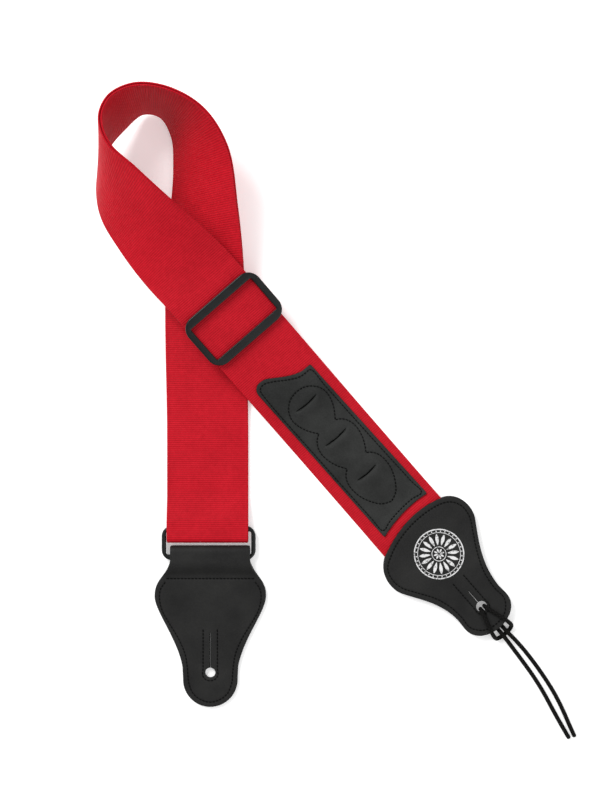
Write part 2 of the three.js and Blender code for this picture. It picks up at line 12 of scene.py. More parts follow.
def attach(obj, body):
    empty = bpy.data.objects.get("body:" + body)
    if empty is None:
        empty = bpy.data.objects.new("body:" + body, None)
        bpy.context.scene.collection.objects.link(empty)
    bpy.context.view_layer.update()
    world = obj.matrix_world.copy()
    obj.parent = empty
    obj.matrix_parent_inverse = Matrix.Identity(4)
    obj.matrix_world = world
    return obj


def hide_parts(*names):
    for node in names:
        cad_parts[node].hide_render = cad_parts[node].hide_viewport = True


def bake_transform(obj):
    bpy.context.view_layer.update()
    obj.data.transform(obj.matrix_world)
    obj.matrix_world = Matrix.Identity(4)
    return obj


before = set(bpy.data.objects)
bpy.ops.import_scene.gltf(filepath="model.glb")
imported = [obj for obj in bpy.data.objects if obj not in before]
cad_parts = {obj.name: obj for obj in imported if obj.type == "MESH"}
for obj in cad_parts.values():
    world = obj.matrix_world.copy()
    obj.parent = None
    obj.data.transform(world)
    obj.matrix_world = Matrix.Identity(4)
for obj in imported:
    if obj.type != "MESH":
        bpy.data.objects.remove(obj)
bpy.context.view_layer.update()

# ---- the CAD's driving dimensions, in millimetres ----
MM = 0.001
CENTRE = np.array([1.343, -5.456, 0.0])
GAP = 0.3
WEB_WIDTH = 50.0
WEB_THICK = 1.2
LEATHER = 1.4
CORD_DIAMETER = 2.6
LAYER = (WEB_THICK + GAP) / 2
LEG_X = -58.5
RING_BAR_Y = -82.7
RING_ROOM = 4.6
BIGHT_Y = -91.5
NECK_PIVOT = np.array([21.1, -28.4, 0.0])
NECK_TURN = math.radians(41)
ALONG = np.array([math.sin(NECK_TURN), -math.cos(NECK_TURN), 0.0])
ACROSS = np.array([math.cos(NECK_TURN), math.sin(NECK_TURN), 0.0])
RAMP_SLOPE = 0.2
RAMP_END = -30.0
NECK_START = -125.0
WEB_END = 90.0
SLIDER_AT = -97.3
CENTRE_BAR = (5.0, 2.0)
HEM_LENGTH = 24.0
BUTTON_HOLE = 3.1
BUTTON_AXIS_X = -56.9
BUTTON_HOLE_Y = -171.5
NECK_HOLE_AT = 135.0
NECK_HOLE = 3.4
NECK_TAB_RISE = 3.3
LOOP_STATIONS = [
    ((-33.5, -60, 1.35), (-83.5, -60, 1.35)),
    ((-33.6, -15, 1.75), (-83.6, -15, 1.45)),
    ((-35, 30, 5), (-84, 30, 1.8)),
    ((-37, 71, 13), (-83, 70, 2.2)),
    ((-39.5, 112, 28), (-81.2, 107, 2.4)),
    ((-44.2, 145.5, 38.5), (-79.3, 139, 2.4)),
    ((-58.5, 167, 46), (-80, 157.5, 2.4)),
    ((-78.5, 178, 50.5), (-87, 170.5, 2.4)),
    ((-97.5, 180, 53), (-98, 172.5, 3.5)),
    ((-111, 173.5, 57), (-109.8, 161.5, 8)),
    ((-116.5, 163, 60), (-119, 149, 12)),
    ((-115.8, 152.5, 62), (-123, 134, 17)),
    ((-110.5, 142.3, 61), (-123.4, 117.5, 20)),
    ((-97, 130.6, 57), (-119.8, 103.6, 22.3)),
    ((-80, 114.8, 49), (-109.6, 87.5, 22.6)),
    ((-61.6, 99.3, 36), (-96, 69, 22)),
]
HITCH_SIDE = [
    (1.5, -146, 1.6), (1.5, -141.5, 1.4), (1.5, -138.4, 1.5), (1.5, -136.4, 2.6), (1.5, -136, 4.4),
    (1.5, -136, 6.3), (1.8, -137, 8.1), (2.5, -139.4, 8.8), (4.2, -145, 8.8), (5.7, -150.2, 8.6),
    (6.3, -153.2, 7), (6.4, -155, 5.1), (6, -156.4, 3.2), (4.4, -157.4, 1.8), (2.2, -157.8, 1.4),
]
TAIL_A = [
    (-1.5, -146.4, 1.6), (-1.5, -149, 1.45), (-1.5, -151.6, 1.6), (-1.6, -154.6, 3), (-1.7, -158, 4.3),
    (-1.9, -161, 4.3), (-2.1, -164.5, 3.3), (-2.4, -168.5, 2), (-2.7, -173, 1.4), (-3.1, -178, 1.3),
    (-3.6, -184, 1.3), (-4.4, -191, 1.3), (-5.5, -198, 1.3), (-6.9, -205, 1.3), (-8.5, -212, 1.3),
    (-10, -219, 1.3), (-11.4, -226, 1.3), (-12.6, -232.5, 1.3),
]
TAIL_B = [
    (1.5, -146.4, 1.6), (1.5, -149, 1.45), (1.5, -151.6, 1.6), (1.6, -154.6, 3), (1.7, -158, 4.3),
    (1.9, -161, 4.3), (2.1, -164.5, 3.3), (2.2, -168.5, 2), (2.2, -173, 1.4), (2, -178, 1.3),
    (1.6, -184, 1.3), (0.9, -191, 1.3), (0, -198, 1.3), (-1.2, -205, 1.3), (-2.8, -212, 1.3),
    (-4.8, -219, 1.3), (-7, -226, 1.3), (-9.4, -234, 1.3),
]


# ---- small helpers ----
def smoothstep(x, low, high):
    t = np.clip((np.asarray(x, float) - low) / (high - low), 0, 1)
    return t * t * (3 - 2 * t)


def unit(v):
    v = np.asarray(v, float)
    return v / np.linalg.norm(v, axis=-1, keepdims=True)


def metres(points):
    return (np.asarray(points, float) - CENTRE) * MM


def catmull(points, per_span, closed=False):
    """The centripetal curve through the points, with per_span steps between each two."""
    pts = [np.asarray(p, float) for p in points]
    if closed:
        pts = [pts[-1], *pts, pts[0], pts[1]]
    else:
        pts = [2 * pts[0] - pts[1], *pts, 2 * pts[-1] - pts[-2]]
    out = []
    for p0, p1, p2, p3 in zip(pts, pts[1:], pts[2:], pts[3:]):
        d0, d1, d2 = (max(np.linalg.norm(b - a), 1e-6) ** 0.5 for a, b in ((p0, p1), (p1, p2), (p2, p3)))
        m1 = ((p1 - p0) / d0 - (p2 - p0) / (d0 + d1) + (p2 - p1) / d1) * d1
        m2 = ((p2 - p1) / d1 - (p3 - p1) / (d1 + d2) + (p3 - p2) / d2) * d1
        for k in range(per_span):
            t = k / per_span
            cubic = 2 * p1 - 2 * p2 + m1 + m2
            square = -3 * p1 + 3 * p2 - 2 * m1 - m2
            out.append(p1 + m1 * t + square * t * t + cubic * t**3)
    if not closed:
        out.append(pts[-2])
    return np.array(out)


def resample(points, step, closed=False):
    """Even points on a polyline, about step apart."""
    pts = np.asarray(points, float)
    if closed:
        pts = np.vstack([pts, pts[:1]])
    length = np.concatenate([[0], np.cumsum(np.linalg.norm(np.diff(pts, axis=0), axis=1))])
    count = max(3, int(round(length[-1] / step)))
    at = np.linspace(0, length[-1], count + 1)
    even = np.stack([np.interp(at, length, pts[:, k]) for k in range(pts.shape[1])], 1)
    return even[:-1] if closed else even


def make(name, points, faces, uv=None, smooth=True):
    """A mesh object from points in millimetres on the strap's own axes."""
    mesh = bpy.data.meshes.new(name)
    mesh.from_pydata(metres(points).tolist(), [], faces)
    if uv is not None:
        layer = mesh.uv_layers.new(name="Weave")
        loops = np.zeros(len(mesh.loops), np.int32)
        mesh.loops.foreach_get("vertex_index", loops)
        layer.data.foreach_set("uv", np.asarray(uv, np.float32)[loops].ravel())
    mesh.polygons.foreach_set("use_smooth", [smooth] * len(mesh.polygons))
    mesh.validate()
    shell = bmesh.new()
    shell.from_mesh(mesh)
    bmesh.ops.recalc_face_normals(shell, faces=shell.faces)
    shell.to_mesh(mesh)
    shell.free()
    obj = bpy.data.objects.new(name, mesh)
    bpy.context.scene.collection.objects.link(obj)
    return obj


def finish_piece(obj, material, body, slot, *nodes):
    obj.data.materials.clear()
    obj.data.materials.append(material)
    if body:
        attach(obj, body)
    if nodes:
        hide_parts(*nodes)
    return obj


# ---- materials ----
def srgb(red, green, blue):
    """A linear colour from one as it looks on a screen, 0 to 255."""
    line = [c / 255 for c in (red, green, blue)]
    return [c / 12.92 if c < 0.04045 else ((c + 0.055) / 1.055) ** 2.4 for c in line] + [1]


class Nodes:
    """Short ways to add and join shader nodes."""

    def __init__(self, name, roughness, **sockets):
        self.material = bpy.data.materials.new(name)
        self.material.use_nodes = True
        self.tree = self.material.node_tree
        self.shader = self.tree.nodes["Principled BSDF"]
        self.shader.inputs["Roughness"].default_value = roughness
        for key, value in sockets.items():
            self.shader.inputs[key.replace("_", " ")].default_value = value

    def put(self, socket, value):
        if isinstance(value, bpy.types.NodeSocket):
            self.tree.links.new(value, socket)
        else:
            socket.default_value = value

    def math(self, operation, a, b=0.0):
        node = self.tree.nodes.new("ShaderNodeMath")
        node.operation = operation
        self.put(node.inputs[0], a)
        self.put(node.inputs[1], b)
        return node.outputs[0]

    def coordinates(self):
        return self.tree.nodes.new("ShaderNodeTexCoord").outputs["Object"]

    def uv(self):
        node = self.tree.nodes.new("ShaderNodeUVMap")
        node.uv_map = "Weave"
        split = self.tree.nodes.new("ShaderNodeSeparateXYZ")
        self.tree.links.new(node.outputs[0], split.inputs[0])
        return split.outputs[0], split.outputs[1]

    def noise(self, scale, detail, vector=None):
        node = self.tree.nodes.new("ShaderNodeTexNoise")
        node.inputs["Scale"].default_value = scale
        node.inputs["Detail"].default_value = detail
        node.inputs["Roughness"].default_value = 0.6
        self.tree.links.new(vector or self.coordinates(), node.inputs["Vector"])
        return node.outputs["Fac"]

    def cells(self, scale):
        node = self.tree.nodes.new("ShaderNodeTexVoronoi")
        node.feature = "DISTANCE_TO_EDGE"
        node.inputs["Scale"].default_value = scale
        self.tree.links.new(self.coordinates(), node.inputs["Vector"])
        return node.outputs["Distance"]

    def ramp(self, value, stops):
        node = self.tree.nodes.new("ShaderNodeValToRGB")
        self.tree.links.new(value, node.inputs[0])
        elements = node.color_ramp.elements
        while len(elements) < len(stops):
            elements.new(0.5)
        for element, (place, colour) in zip(elements, stops):
            element.position = place
            element.color = colour
        return node.outputs[0]

    def remap(self, value, low, high, to_low, to_high):
        node = self.tree.nodes.new("ShaderNodeMapRange")
        self.put(node.inputs["Value"], value)
        for key, number in (("From Min", low), ("From Max", high), ("To Min", to_low), ("To Max", to_high)):
            node.inputs[key].default_value = number
        return node.outputs[0]

    def mix(self, factor, a, b):
        node = self.tree.nodes.new("ShaderNodeMix")
        node.data_type = "RGBA"
        self.put(node.inputs["Factor"], factor)
        self.put(node.inputs[6], a)
        self.put(node.inputs[7], b)
        return node.outputs[2]

    def bump(self, height, distance, strength=1.0, before=None):
        node = self.tree.nodes.new("ShaderNodeBump")
        node.inputs["Strength"].default_value = strength
        node.inputs["Distance"].default_value = distance
        self.tree.links.new(height, node.inputs["Height"])
        if before is not None:
            self.tree.links.new(before, node.inputs["Normal"])
        return node.outputs[0]

    def done(self, colour, normal, roughness=None):
        self.put(self.shader.inputs["Base Color"], colour)
        self.put(self.shader.inputs["Normal"], normal)
        if roughness is not None:
            self.put(self.shader.inputs["Roughness"], roughness)
        return self.material


RIB = 1.3  # from one cross rib of the webbing to the next
WARP = 0.95  # width of one warp float


def webbing_material():
    n = Nodes("red_webbing", 0.7, Specular_IOR_Level=0.12)
    across, along = n.uv()
    row = n.math("DIVIDE", along, RIB)
    rib = n.math("ABSOLUTE", n.math("SINE", n.math("MULTIPLY", row, math.pi)))
    shift = n.math("MULTIPLY", n.math("FLOOR", row), 0.5)
    warp = n.math("ADD", n.math("DIVIDE", across, WARP), shift)
    float_ = n.math("ABSOLUTE", n.math("SINE", n.math("MULTIPLY", warp, math.pi)))
    weave = n.math("MULTIPLY", rib, n.remap(float_, 0, 1, 0.55, 1))
    streak = n.noise(0.35, 2, vector=n.tree.nodes["UV Map"].outputs[0])
    worn = n.noise(55, 4)
    tone = n.math("ADD", n.math("MULTIPLY", streak, 0.5), n.math("MULTIPLY", worn, 0.5))
    lit = n.ramp(tone, [(0.3, srgb(172, 8, 26)), (0.7, srgb(196, 18, 36))])
    # painted shade: deep is a shaded copy of the red, laid into the rib valleys between the warp floats
    deep = n.mix(0.45, lit, srgb(104, 3, 13))
    colour = n.mix(n.remap(weave, 0.05, 0.6, 0, 1), deep, lit)
    fuzz = n.noise(2600, 3)
    normal = n.bump(weave, 0.00022, 0.8, n.bump(fuzz, 0.00008, 0.5))
    return n.done(colour, normal, n.remap(fuzz, 0.3, 0.7, 0.5, 0.75))


def leather_material(name, dark, light, gloss):
    n = Nodes(name, gloss, Specular_IOR_Level=0.13, Coat_Weight=0.01, Coat_Roughness=0.45)
    grain = n.cells(1500)
    pores = n.noise(900, 4)
    broad = n.noise(38, 3)
    skin = n.math("ADD", n.remap(grain, 0, 0.22, 0, 1), n.math("MULTIPLY", pores, 0.6))
    tone = n.math("ADD", n.math("MULTIPLY", broad, 0.7), n.math("MULTIPLY", pores, 0.3))
    colour = n.ramp(tone, [(0.35, dark), (0.68, light)])
    # painted shade: the colour darkens towards near-black in the grain's creases, where the bump has its
    # valleys
    colour = n.mix(n.remap(grain, 0, 0.12, 0.35, 0), colour, srgb(16, 16, 16))
    normal = n.bump(skin, 0.00009, 0.55, n.bump(broad, 0.0009, 0.35))
    return n.done(colour, normal, n.remap(pores, 0.3, 0.7, gloss - 0.08, gloss + 0.1))


def plastic_material():
    n = Nodes("moulded_plastic", 0.34, Specular_IOR_Level=0.26)
    grain = n.noise(1400, 2)
    broad = n.noise(60, 2)
    colour = n.ramp(broad, [(0.3, srgb(8, 10, 10)), (0.7, srgb(16, 19, 19))])
    return n.done(colour, n.bump(grain, 0.00004, 0.6), n.remap(broad, 0.3, 0.7, 0.26, 0.42))


def thread_material(name, colour):
    n = Nodes(name, 0.7, Specular_IOR_Level=0.1)
    twist = n.noise(2500, 2)
    base = n.mix(n.remap(twist, 0.35, 0.65, 0, 0.5), colour, [c * 0.4 for c in colour[:3]] + [1])
    return n.done(base, n.bump(twist, 0.0001, 0.8))


def cord_material():
    n = Nodes("braided_cord", 0.75, Specular_IOR_Level=0.12)
    around, along = n.uv()
    plaits = []
    for way in (-1, 1):
        turn = n.math("ADD", n.math("MULTIPLY", around, 4), n.math("MULTIPLY", along, 0.42 * way))
        plaits.append(n.math("ABSOLUTE", n.math("SINE", n.math("MULTIPLY", turn, math.pi))))
    braid = n.math("MULTIPLY", *plaits)
    fuzz = n.noise(3000, 3)
    # painted shade: the braid darkens in the grooves between the plaits, where the bump is lowest
    colour = n.mix(n.remap(braid, 0.1, 0.7, 0, 1), srgb(3, 3, 3), srgb(20, 19, 18))
    return n.done(colour, n.bump(braid, 0.0004, 0.9, n.bump(fuzz, 0.0001, 0.6)))


def print_material():
    n = Nodes("silver_print", 0.5, Specular_IOR_Level=0.4)
    worn = n.noise(700, 4)
    colour = n.ramp(worn, [(0.36, srgb(120, 120, 120)), (0.47, srgb(214, 214, 214))])
    return n.done(colour, n.bump(worn, 0.00003, 0.6))


def floor_material():
    n = Nodes("pale_floor", 0.9, Specular_IOR_Level=0.1, Emission_Color=(1, 1, 1, 1), Emission_Strength=0.28)
    speck = n.noise(30, 2)
    colour = n.ramp(speck, [(0, srgb(250, 250, 250)), (1, srgb(252, 252, 252))])
    return n.done(colour, n.bump(speck, 1e-5, 0.1))


RED = webbing_material()
TAB_LEATHER = leather_material("tab_leather", srgb(25, 25, 25), srgb(40, 40, 39), 0.52)
PATCH_LEATHER = leather_material("patch_leather", srgb(30, 31, 30), srgb(50, 51, 50), 0.54)
# painted shade: a near-black sheet for the shade seen through the pick pocket slits
SLIT_SHADE_SHEET = leather_material("slit_painted_shade", srgb(9, 9, 9), srgb(14, 14, 14), 0.7)
PLASTIC = plastic_material()
BLACK_THREAD = thread_material("black_thread", srgb(3, 3, 3))
RED_THREAD = thread_material("red_thread", srgb(150, 10, 20))
CORD = cord_material()
PRINT = print_material()


# ---- camera, light and floor ----
CAMERA_OVER = (-1.7, -3.7)
CAMERA_HEIGHT = 900
VIEW_LENGTH = 493.6  # what the picture's long side spans at the table


def camera_and_light():
    camera = bpy.data.objects.new("camera", bpy.data.cameras.new("camera"))
    camera.data.sensor_fit = "AUTO"
    camera.data.sensor_width = 36
    camera.data.lens = camera.data.sensor_width * CAMERA_HEIGHT / VIEW_LENGTH
    camera.location = metres([*CAMERA_OVER, CAMERA_HEIGHT])
    scene = bpy.context.scene
    scene.collection.objects.link(camera)
    scene.camera = camera
    scene.view_settings.view_transform = "Standard"
    world = bpy.data.worlds.new("studio")
    world.use_nodes = True
    world.node_tree.nodes["Background"].inputs[0].default_value = (1, 1, 1, 1)
    world.node_tree.nodes["Background"].inputs[1].default_value = 0.62
    scene.world = world
    for name, place, size, power in (
        ("key", (-0.75, 0.75, 1.05), 0.6, 17),
        ("fill", (0.8, -0.5, 1.1), 1.1, 5),
    ):
        light = bpy.data.lights.new(name, "AREA")
        light.size = size
        light.energy = power
        lamp = bpy.data.objects.new(name, light)
        lamp.location = place
        aim = -np.array(place)
        lamp.rotation_mode = "QUATERNION"
        lamp.rotation_quaternion = Vector(aim).to_track_quat("-Z", "Y")
        scene.collection.objects.link(lamp)
    mesh = bpy.data.meshes.new("floor")
    side = 3.0
    corners = [(-side, -side, 0), (side, -side, 0), (side, side, 0), (-side, side, 0)]
    mesh.from_pydata(corners, [], [(0, 1, 2, 3)])
    floor = bpy.data.objects.new("floor", mesh)
    floor.location.z = -0.0002
    mesh.materials.append(floor_material())
    scene.collection.objects.link(floor)


camera_and_light()


# ---- the strap's route ----
def neck_height(along):
    along = np.asarray(along, float)
    rest = -GAP / 2
    ramp = rest + (RAMP_END / 2 - along) * RAMP_SLOPE
    curve = rest + RAMP_SLOPE * along**2 / (-2 * RAMP_END)
    flat = rest + (LEATHER + GAP) * smoothstep(along, 54, 66)
    return np.where(along < RAMP_END, ramp, np.where(along < 0, curve, flat))


def neck_point(across, along, height):
    """Points on the neck leg: across it, along it past the pivot, and above its middle layer."""
    across, along, height = np.broadcast_arrays(*(np.asarray(v, float) for v in (across, along, height)))
    slope = neck_height(along + 0.5) - neck_height(along - 0.5)
    up = unit(np.stack([-slope * ALONG[0], -slope * ALONG[1], np.ones_like(slope)], -1))
    base = NECK_PIVOT + along[..., None] * ALONG + across[..., None] * ACROSS
    base[..., 2] = neck_height(along)
    return base + up * height[..., None]


def table_point(across, minus_along, height):
    """Points over the neck leg by height above the table."""
    return NECK_PIVOT + across * ACROSS - minus_along * ALONG + np.array([0, 0, height])


# ---- cord ----
def tube(name, route, radius, sides=16, step=0.5, cap=0.5):
    """A round cord along a smooth route, with its ends rounded over, and its route."""
    path = resample(catmull(route, 12), step)
    tangent = unit(np.gradient(path, axis=0))
    normal = unit(np.cross(tangent[0], [0, 0, 1.0]))
    rows, uv = [], []
    total = len(path)
    for k, (point, forward) in enumerate(zip(path, tangent)):
        normal = unit(normal - forward * np.dot(normal, forward))
        other = np.cross(forward, normal)
        inset = min(k, total - 1 - k) * step
        size = radius * (1 if inset >= cap else 0.72 + 0.28 * math.sqrt(1 - (1 - inset / cap) ** 2))
        for j in range(sides + 1):
            angle = 2 * math.pi * j / sides
            rows.append(point + size * (math.cos(angle) * normal + math.sin(angle) * other))
            uv.append((j / sides, k * step))
    ring = sides + 1
    faces = [
        (k * ring + j, k * ring + j + 1, (k + 1) * ring + j + 1, (k + 1) * ring + j)
        for k in range(total - 1)
        for j in range(sides)
    ]
    faces.append(tuple(reversed(range(sides))))
    faces.append(tuple((total - 1) * ring + j for j in range(sides)))
    obj = make(name, rows, faces, uv)
    weld = obj.modifiers.new("weld", "WELD")
    weld.merge_threshold = 1e-6
    return obj, path


def add_cord():
    side = [np.array(p, float) for p in HITCH_SIDE]
    other = [p * (-1, 1, 1) for p in reversed(side)]
    loop = [*side, np.array([0, -157.9, 1.35]), *other]
    hitch, _ = tube("cord_hitch_loop", [table_point(*p) for p in loop], CORD_DIAMETER / 2)
    finish_piece(hitch, CORD, "strap", "cord", "cord_hitch")
    for letter, route in (("a", TAIL_A), ("b", TAIL_B)):
        tail, path = tube(f"cord_tail_{letter}_braid", [table_point(*p) for p in route], CORD_DIAMETER / 2)
        finish_piece(tail, CORD, "strap", "cord", f"cord_tail_{letter}")
        metres(path[0]).tolist()
        metres(path[::4]).tolist() + [metres(path[-1]).tolist()]


add_cord()


# ---- webbing ----
def loop_frames(per_span=16):
    ends = [
        tuple(neck_point(side, along, 0) for side in (25, -25)) for along in (NECK_START, NECK_START + 25)
    ]
    stations = [*LOOP_STATIONS, *ends]
    outer = catmull([s[0] for s in stations], per_span)[: -per_span]
    inner = catmull([s[1] for s in stations], per_span)[: -per_span]
    centre = (outer + inner) / 2
    across = unit(outer - inner)
    tangent = unit(np.gradient(centre, axis=0))
    return centre, across, unit(np.cross(across, tangent))


def neck_frames(alongs, height):
    alongs = np.asarray(alongs, float)
    centre = neck_point(0, alongs, height)
    normal = neck_point(0, alongs, 0) - neck_point(0, alongs, 1)
    return centre, np.tile(ACROSS, (len(alongs), 1)), normal


def bight_frames():
    radius = (RING_ROOM + WEB_THICK) / 2
    turn_y = BIGHT_Y + radius + WEB_THICK / 2
    middle = WEB_THICK / 2 + radius
    angle = np.linspace(-math.pi / 2, -1.5 * math.pi, 15)
    y = turn_y + radius * np.cos(angle)
    z = middle + radius * np.sin(angle)
    normal = np.stack([0 * angle, -np.cos(angle), -np.sin(angle)], 1)
    high = middle + radius
    low = 2 * LAYER + WEB_THICK / 2
    t = np.linspace(0, 1, 16)
    run = -61 - RING_BAR_Y - 3
    back_y = RING_BAR_Y + 3 + run * t
    back_z = high - (high - low) * smoothstep(t, 0, 1)
    slope = (high - low) * 6 * t * (1 - t) / run
    back_normal = -unit(np.stack([0 * t, slope, np.ones_like(t)], 1))
    count = len(angle) + len(t)
    centre = np.stack([np.full(count, LEG_X), np.concatenate([y, back_y]), np.concatenate([z, back_z])], 1)
    return centre, np.tile([1.0, 0, 0], (count, 1)), np.vstack([normal, back_normal])


def ribbon(name, centre, across, normal, step=RIB / 2):
    """Webbing along the frames: rounded selvages, a shallow groove inside each, and a row of ribs."""
    rib_depth = 0.07
    length = np.concatenate([[0], np.cumsum(np.linalg.norm(np.diff(centre, axis=0), axis=1))])
    keep = np.concatenate([[True], np.diff(length) > 1e-6])
    length, centre, across, normal = length[keep], centre[keep], across[keep], normal[keep]
    count = int(length[-1] / step)
    at = np.linspace(0, length[-1], count + 1)
    centre, across, normal = (
        np.stack([np.interp(at, length, v[:, k]) for k in range(3)], 1) for v in (centre, across, normal)
    )
    across, normal = unit(across), unit(normal)
    half, thick = WEB_WIDTH / 2, WEB_THICK / 2
    top = [
        (-half + 0.08, 0.3), (-half + 0.3, 0.5), (-half + 0.8, thick), (-half + 1.6, thick),
        (-half + 2.1, 0.5), (-half + 2.6, thick), (-12, thick), (0, thick), (12, thick),
        (half - 2.6, thick), (half - 2.1, 0.5), (half - 1.6, thick), (half - 0.8, thick),
        (half - 0.3, 0.5), (half - 0.08, 0.3),
    ]
    section = np.array([*top, (half, 0), *[(x, -z) for x, z in reversed(top)], (-half, 0)])
    rib = np.where(np.arange(count + 1) % 2 == 0, 0.0, -rib_depth)
    level = section[:, 1][None, :] + np.sign(section[:, 1])[None, :] * rib[:, None]
    points = (
        centre[:, None, :]
        + across[:, None, :] * section[None, :, 0, None]
        + normal[:, None, :] * level[:, :, None]
    )
    sides = len(section)
    uv = [(x + 25, s) for s in at for x, _ in section]
    faces = [
        (k * sides + j, k * sides + (j + 1) % sides, (k + 1) * sides + (j + 1) % sides, (k + 1) * sides + j)
        for k in range(count)
        for j in range(sides)
    ]
    faces.append(tuple(reversed(range(sides))))
    faces.append(tuple(count * sides + j for j in range(sides)))
    return make(name, points.reshape(-1, 3), faces, uv), length[-1]


def join_frames(*parts):
    return tuple(np.vstack([p[k] for p in parts]) for k in range(3))


def webbing_run():
    centre, across, normal = loop_frames()
    main = tuple(v[::-1] for v in (centre - normal * LAYER, across, normal))
    back = (centre + normal * LAYER, across, -normal)
    neck = neck_frames(np.linspace(WEB_END, NECK_START + 3, 120), LAYER)
    tail_centre, tail_across, tail_normal = neck_frames([-124, SLIDER_AT - HEM_LENGTH - 1], -LAYER)
    tail = (tail_centre, tail_across, -tail_normal)
    run, length = ribbon("webbing_run", *join_frames(neck, main, bight_frames(), back, tail))
    finish_piece(run, RED, "strap", "webbing", "webbing_main_run", "webbing_return_run")


def end_loop():
    radius = CENTRE_BAR[1] / 2 + GAP + WEB_THICK / 2
    half = CENTRE_BAR[0] / 2 - 0.4
    down = LAYER + radius
    start = SLIDER_AT - HEM_LENGTH
    rows = [(a, -LAYER, 0) for a in np.linspace(start, SLIDER_AT + half, 8)]
    for angle in np.linspace(0, math.pi, 13)[1:-1]:
        rows.append((SLIDER_AT + half + radius * math.sin(angle), -down + radius * math.cos(angle), angle))
    rows.append((SLIDER_AT + half, -down - radius, math.pi))
    low = -LAYER - WEB_THICK - GAP
    for t in np.linspace(0, 1, 12):
        height = -down - radius + (low + down + radius) * smoothstep(t, 0, 1)
        rows.append((SLIDER_AT - half - 1 + t * (start + 6 - SLIDER_AT + half + 1), height, math.pi))
    rows.append((start, low, math.pi))
    centre = np.array([neck_point(0, a, h) for a, h, _ in rows])
    up = np.array([neck_point(0, a, 1) - neck_point(0, a, 0) for a, _, _ in rows])
    forward = np.cross(ACROSS, up)
    tilt = np.array([r[2] for r in rows])[:, None]
    normal = up * np.cos(tilt) + forward * np.sin(tilt)
    loop, _ = ribbon("webbing_end", centre, np.tile(ACROSS, (len(rows), 1)), normal)
    finish_piece(loop, RED, None, "webbing", "webbing_end_loop")
    follow_slider(loop)


def follow_slider(obj):
    """Bakes the piece's placement into its mesh."""
    start = SLIDER_AT - HEM_LENGTH
    metres(neck_point(0, start + 0.5, 0)).tolist()
    metres(neck_point(0, start + 15, 0)).tolist()
    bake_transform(obj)


webbing_run()
end_loop()


# ---- moulded slider and ring ----
def moulded(name, node, body, slot, voxel, passes):
    """The CAD solid with its edges rounded as a mould leaves them."""
    obj = bpy.data.objects.new(name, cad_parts[node].data.copy())
    bpy.context.scene.collection.objects.link(obj)
    fine = obj.modifiers.new("fine", "REMESH")
    fine.mode = "VOXEL"
    fine.voxel_size = voxel * MM
    fine.use_smooth_shade = True
    soft = obj.modifiers.new("soft", "SMOOTH")
    soft.factor = 0.5
    soft.iterations = passes
    graph = bpy.context.evaluated_depsgraph_get()
    mesh = bpy.data.meshes.new_from_object(obj.evaluated_get(graph))
    obj.modifiers.clear()
    obj.data = mesh
    mesh.polygons.foreach_set("use_smooth", [True] * len(mesh.polygons))
    finish_piece(obj, PLASTIC, body, slot, node)


moulded("slider_moulding", "slider_frame", "slider", "slider_plastic", 0.4, 10)
moulded("ring_moulding", "ring", "ring", "ring_plastic", 0.4, 6)


# ---- leather ----
def distance_to(points, line, closed):
    """Each 2-D point's distance to a polyline."""
    a = np.asarray(line, float)
    b = np.roll(a, -1, 0) if closed else a[1:]
    a = a if closed else a[:-1]
    best = np.full(len(points), 1e9)
    for p, q in zip(a, b):
        run = q - p
        t = np.clip(((points - p) @ run) / max(run @ run, 1e-12), 0, 1)
        best = np.minimum(best, np.linalg.norm(points - p - t[:, None] * run, axis=1))
    return best


def inside(points, polygon):
    x, y = points[:, 0], points[:, 1]
    result = np.zeros(len(points), bool)
    for (x0, y0), (x1, y1) in zip(polygon, np.roll(polygon, -1, 0)):
        crosses = (y0 > y) != (y1 > y)
        reach = (x1 - x0) * (y - y0) / ((y1 - y0) or 1e-12) + x0
        result ^= crosses & (x < reach)
    return result


def signed_area(polygon):
    x, y = polygon[:, 0], polygon[:, 1]
    return 0.5 * np.sum(x * np.roll(y, -1) - y * np.roll(x, -1))


def inward(polygon, amount):
    """The outline moved towards the leather by amount; outlines run anticlockwise and holes clockwise."""
    run = unit(np.roll(polygon, -1, 0) - np.roll(polygon, 1, 0))
    return polygon + amount * np.stack([-run[:, 1], run[:, 0]], 1)


